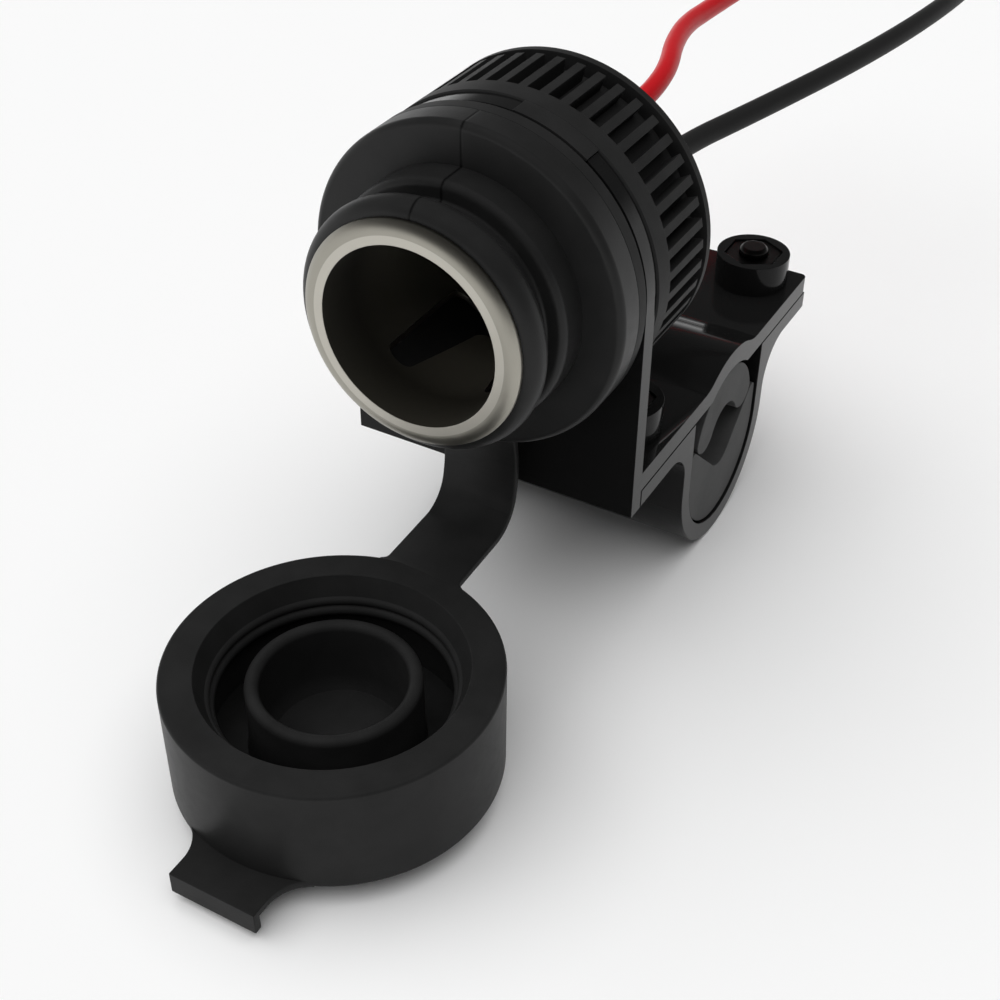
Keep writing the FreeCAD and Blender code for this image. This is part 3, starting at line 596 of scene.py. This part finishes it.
# Plastic body: black, moulded with a fine matt grain. Between boot and gasket only the edge of
# its flange shows.
def moulded(name, level, roughness, grain, depth, line=None, sheen=0.1):
    """Black rubber or plastic with a moulded grain. A parting line may run along its top, dented and
    painted near black as the shade in its groove.
    """
    material, paint = blank(name)
    shade = paint.node(
        "ShaderNodeValToRGB",
        {"stops": [(0.3, grey(level * 0.85)), (0.7, grey(level * 1.15))]},
        {0: noise(paint, 5 * mm, 5.0)},
    )
    height = noise(paint, grain) * depth
    if line:
        place = paint.node("ShaderNodeTexCoord", output="Object")
        aside = paint.node("ShaderNodeSeparateXYZ", sockets={0: place})
        above = paint.node("ShaderNodeSeparateXYZ", sockets={0: place}, output="Z")
        aside = paint.math("MAXIMUM", aside, aside * -1.0)
        near = 1 - paint.math("MINIMUM", aside * (1 / line), 1.0)
        dent_and_painted_shade = near * paint.math("GREATER_THAN", above, mouth.z)
        height = height - dent_and_painted_shade * 0.03
        # Painted shade: the parting line's dent is also painted near black, for the shade in its
        # groove.
        shade = paint.node(
            "ShaderNodeMix",
            {"data_type": "RGBA"},
            {"Factor": dent_and_painted_shade, "A": shade, "B": grey(0.001)},
            output="Result",
        )
    surface(paint, {
        "Base Color": shade,
        "Roughness": roughness - 0.05 + 0.1 * noise(paint, 1.2 * mm, 4.0),
        "Specular IOR Level": sheen,
        "Normal": relief(paint, height),
    })
    return material


plastic = moulded("matt_black_plastic", 0.021, 0.46, 0.18 * mm, 0.012, sheen=0.05)
housing_profile = [
    (11.25, 8),
    (13.2, 8),
    (13.2, 15.19),
    (19.3, 15.19),
    (19.3, 16.9),
    (16.4, 16.9),
    (16.4, 34.6),
    (12.6, 34.6),
    (12.6, 43),
    (10.85, 43),
    (10.85, 36),
    (11.25, 36),
]
dressed("socket_housing", "socket", "black_plastic", plastic, 0.06 * mm, mesh=turned(housing_profile))
key_lug = softened(turned([
    (16.4, 16.9),
    (18.3, 16.9),
    (18.3, 17.4),
    (19.25, 17.4),
    (19.25, 20.14),
    (16.4, 20.14),
], sector=(54.1, 82.4)), "key_lug", plastic, 0.04 * mm)
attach(key_lug, "socket")
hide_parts("socket_housing")


# Inside the body: an insulating washer, the rivet of the centre contact, two brass tabs crimped
# to the leads, and heat-shrink sleeves over the crimps.
def kept(node, material):
    """Gives a CAD solid that stays a finished material."""
    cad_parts[node].material_slots[0].material = material


fibre, paint = blank("insulating_washer")
surface(paint, {
    "Base Color": paint.node(
        "ShaderNodeValToRGB",
        {"stops": [(0.35, (0.5, 0.42, 0.28, 1)), (0.65, (0.66, 0.58, 0.42, 1))]},
        {0: noise(paint, 0.6 * mm, 5.0)},
    ),
    "Roughness": 0.6,
    "Normal": relief(paint, noise(paint, 0.3 * mm) * 0.02),
})
kept("base_insulator", fibre)
brass = metal("brass", (0.72, 0.5, 0.22), 0.3, 0.12 * mm, 0.005)
kept("positive_terminal", brass)
kept("negative_terminal", brass)
kept("centre_contact", metal("nickel", (0.6, 0.575, 0.52), 0.36, 0.12 * mm, 0.005))
shrink = moulded("heat_shrink", 0.015, 0.5, 0.5 * mm, 0.03)
kept("positive_sleeve", shrink)
kept("negative_sleeve", shrink)


# Boot: soft black rubber, pulled over the body's nose. It has the lip that the cap snaps over,
# and the mould's parting line along its top.
boot_profile = [
    (11.25, 1.2),
    (12.9, 1.2),
    (14.63, 2.9, 1.8),
    (14.23, 4.25, 1.7),
    (12.4, 4.25),
    (12.4, 7.0),
    (12.75, 7.35, -0.35),
    (13.65, 7.35),
    (14.55, 8.25, 0.9),
    (14.55, 11.33),
    (18.45, 11.33),
    (19.3, 12.18, 0.85),
    (19.3, 15.19),
    (13.25, 15.19),
    (13.25, 8),
    (11.25, 8),
]
# Painted shade: the boot gets a copy of the cap's rubber in a slightly darker colour.
boot_rubber_shaded = moulded("boot_rubber", 0.015, 0.4, 0.14 * mm, 0.01, line=0.22 * mm, sheen=0.22)
dressed("rubber_boot", "socket", "black_rubber", boot_rubber_shaded, 0.1 * mm, mesh=turned(boot_profile))


# Cap: moulded in the same rubber, with a plug ring, two sealing beads and a pull tab.
rubber = moulded("black_rubber", 0.0175, 0.42, 0.14 * mm, 0.01)
cap_axis = Matrix.Translation(mouth + Vector((0, -16.72, -32.47)) * mm) @ Matrix.Scale(mm, 4)
cup = turned([
    (0, -13.93),
    (18.42, -13.93),
    (18.92, -13.43, 0.5),
    (18.92, -0.4),
    (18.52, 0, 0.4),
    (15.2, 0),
    (15.05, -0.15, 0.15),
    (14.05, -2.4),
    (13.75, -3.45, 0.6),
    (13.35, -4.6, 0.65),
    (15, -4.8),
    (15, -8.4),
    (14.5, -10.96),
    (10.1, -10.96),
    (9.84, -9.06),
    (9.84, -2.56),
    (9.01, -1.73, 0.83),
    (8.18, -2.56, 0.83),
    (8.18, -9.06),
    (7.3, -10.96),
    (0, -10.96),
], axis=cap_axis)
dressed("cap", "cap", "black_rubber", rubber, 0.03 * mm, mesh=cup, concave=True, limit=35)
tab_plan = [
    (-8.32, -33.6),
    (-5.5, -38.1, -5),
    (-5.5, -40.35),
    (5.5, -40.35),
    (5.5, -38.1),
    (8.32, -33.6, -5),
    (6, -32),
    (-6, -32),
]
lip_plan = [(-5.5, -40.35), (5.5, -40.35), (5.5, -39.35), (-5.5, -39.35)]
tab = carved(upright(tab_plan, -46.4, -45.4), upright(lip_plan, -48.3, -45.6), "UNION")
pull_tab = softened(tab, "pull_tab", rubber, 0.12 * mm, limit=50)
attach(pull_tab, "cap")
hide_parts("cap")
kept("gasket", rubber)


# Strap: a flat rubber band that leaves the boot's shoulder downwards, turns forward and runs
# level into the cap's rim. Both ends widen with small fillets.
band_half = 4.95
band_thick = 1.0
band_corner = 0.3
band_step = 0.15
boot_end = -20.25
cap_end = 2.29
fillet = 1.0
level_start = (9.95, -32.114)
band_side = [
    (14.19, -18.6),
    (14.19, -19.3),
    (14.49, -28.8, -17.7),
    (10.29, -32.1, -4.3),
    level_start,
    (1.15, -32.47),
]


def band(name, points):
    """A rubber band whose front follows points in the plane of the socket's axis."""
    made = bmesh.new()
    rows = []
    for index, point in enumerate(points):
        along = (points[min(index + 1, len(points) - 1)] - points[max(index - 1, 0)]).normalized()
        back = Vector((-along.y, along.x))
        rooted = max(point.y - boot_end, cap_end - point.x if point.y < -32 else 0, 0)
        half = band_half + fillet - math.sqrt(fillet**2 - min(rooted, 0.954 * fillet) ** 2)
        row = []
        for quarter in range(4):
            for step in range(5):
                angle = math.radians(90 * quarter + 22.5 * step)
                side, face = (math.copysign(1, turn(angle + 0.001)) for turn in (math.cos, math.sin))
                aside = side * (half - band_corner) + band_corner * math.cos(angle)
                deep = face * (band_thick / 2 - band_corner) + band_corner * math.sin(angle)
                place = point + back * (band_thick / 2 + deep)
                row.append(made.verts.new(mouth + Vector((aside, place.x, place.y)) * mm))
        rows.append(row)
    for row, following in zip(rows, rows[1:]):
        for index in range(len(row)):
            made.faces.new((row[index - 1], row[index], following[index], following[index - 1]))
    made.faces.new(rows[0])
    made.faces.new(rows[-1])
    bmesh.ops.recalc_face_normals(made, faces=made.faces)
    mesh = bpy.data.meshes.new(name)
    made.to_mesh(mesh)
    made.free()
    mesh.shade_smooth()
    mesh.set_sharp_from_angle(angle=math.radians(50))
    piece = added(name, mesh, rubber)
    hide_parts("cap_strap")
    return piece


line = traced(band_side)
for spot in range(len(line) - 1, 0, -1):
    run = line[spot] - line[spot - 1]
    pieces = int(run.length / band_step)
    line[spot:spot] = [line[spot - 1] + run * step / pieces for step in range(1, pieces)]
seam = min(range(len(line)), key=lambda index: (line[index] - Vector(level_start)).length)
loop = band("strap_loop", line[: seam + 1])
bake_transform(loop)
level = band("strap_end", line[seam:])
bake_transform(level)


# Ring nut: black plastic. Behind a plain band it has 47 grip ribs, then a groove and a rim.
nut_radius = 19.2
slot_floor = 17.3
nut_start = 20.15
band_end = 23.15
rib_end = 32.0
rib_count = 47
slot_half = 0.74


def ribs(made):
    """Ribs round Z, each a filleted bar that narrows inwards."""
    sizes = Sizes(made)
    top = sizes("outer radius", nut_radius - 0.02)
    foot = sizes("inner radius", slot_floor - 0.4)
    slot = sizes("slot half width", slot_half)
    reach = sizes("rib length", rib_end - band_end + 0.3)
    count = sizes("ribs", rib_count)
    pitch = made.math("DIVIDE", 2 * math.pi, count)
    half_top = top * pitch * 0.5 - slot
    half_foot = foot * pitch * 0.5 - slot
    corners = {}
    for corner, (out, half, side) in enumerate(
        ((foot, half_foot, -1.0), (top, half_top, -1.0), (top, half_top, 1.0), (foot, half_foot, 1.0))
    ):
        corners[f"Point {corner + 1}"] = made.node(
            "ShaderNodeCombineXYZ", sockets={"X": out, "Y": half * side}
        )
    section = made.node("GeometryNodeCurvePrimitiveQuadrilateral", {"mode": "POINTS"}, corners)
    section = made.node("GeometryNodeFilletCurve", {"mode": "POLY"}, {
        "Curve": section, "Count": 2, "Radius": 0.05,
    })
    end = made.node("ShaderNodeCombineXYZ", sockets={"Z": reach})
    bar = made.node("GeometryNodeCurveToMesh", sockets={
        "Curve": made.node("GeometryNodeCurvePrimitiveLine", sockets={"End": end}),
        "Profile Curve": section,
        "Fill Caps": True,
    })
    spots = made.node("GeometryNodePoints", sockets={"Count": count})
    turn = made.node("ShaderNodeCombineXYZ", sockets={"Z": pitch * made.node("GeometryNodeInputIndex")})
    return sizes.values, made.node("GeometryNodeInstanceOnPoints", sockets={
        "Points": spots, "Instance": bar, "Rotation": turn,
    })


nut_core = softened(turned([
    (16.5, nut_start),
    (nut_radius - 0.2, nut_start),
    (nut_radius, nut_start + 0.15),
    (nut_radius, band_end),
    (slot_floor, band_end),
    (slot_floor, 33),
    (nut_radius, 33),
    (nut_radius, 34.04),
    (16.5, 34.04),
]), "ring_nut_core", plastic, 0.05 * mm)
nut_ribs = grown("ring_nut_ribs", ribs, plastic)
first_rib = Matrix.Rotation(-math.radians(92.17 + 180 / rib_count), 4, "Z")
nut_ribs.data.transform(onto_axis @ first_rib @ Matrix.Translation((0, 0, band_end - 0.3)))
for piece in (softened(nut_ribs.data, "ring_nut_grip", plastic, 0.07 * mm, limit=50), nut_core):
    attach(piece, "socket")
    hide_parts("ring_nut")
bpy.data.objects.remove(nut_ribs)


# Bracket and the clamp's lower half: black plastic from polished moulds. The plate that the ring
# nut grips stands on an arched base with four bosses. A little air is left where the two meet.
def polished(name, level, roughness):
    """Black plastic from a polished mould, with slight waves and a few dull patches."""
    material, paint = blank(name)
    surface(paint, {
        "Base Color": grey(level),
        "Roughness": roughness - 0.03 + 0.08 * noise(paint, 6 * mm, 5.0),
        "Specular IOR Level": 0.15,
        "Normal": relief(paint, noise(paint, 3 * mm) * 0.01),
    })
    return material


gloss = polished("polished_black_plastic", 0.009, 0.11)
dressed("bracket", "socket", "gloss_black_plastic", gloss, 0.05 * mm)
clamp_gap = 0.2 * mm
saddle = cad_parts["clamp_lower"].data.copy()
flange_top = max(vertex.co.z for vertex in saddle.vertices)
for vertex in saddle.vertices:
    if vertex.co.z > flange_top - 0.01 * mm:
        vertex.co.z -= clamp_gap
dressed("clamp_lower", "socket", "gloss_black_plastic", gloss, 0.1 * mm, mesh=saddle)


# Pads: two matt rubber blocks, cast to hug the bar from above and below.
pad_rubber = moulded("pad_rubber", 0.06, 0.62, 0.2 * mm, 0.015, sheen=0.2)
for node in ("upper_pad", "lower_pad"):
    dressed(node, "socket", "pad_rubber", pad_rubber, 0.1 * mm, limit=35)


# Clamp fasteners: four M4 screws, put in from below, and hexagon nuts in the bosses' pockets, all
# of blackened steel. The screws' ends stand just out of the nuts.
steel = metal("blackened_steel", (0.035, 0.034, 0.033), 0.36, 0.2 * mm, 0.008)
for place in ("front_left", "front_right", "rear_left", "rear_right"):
    dressed("clamp_screw_" + place, "socket", "black_steel", steel, 0.12 * mm)
    dressed("clamp_nut_" + place, "socket", "black_steel", steel, 0.15 * mm)
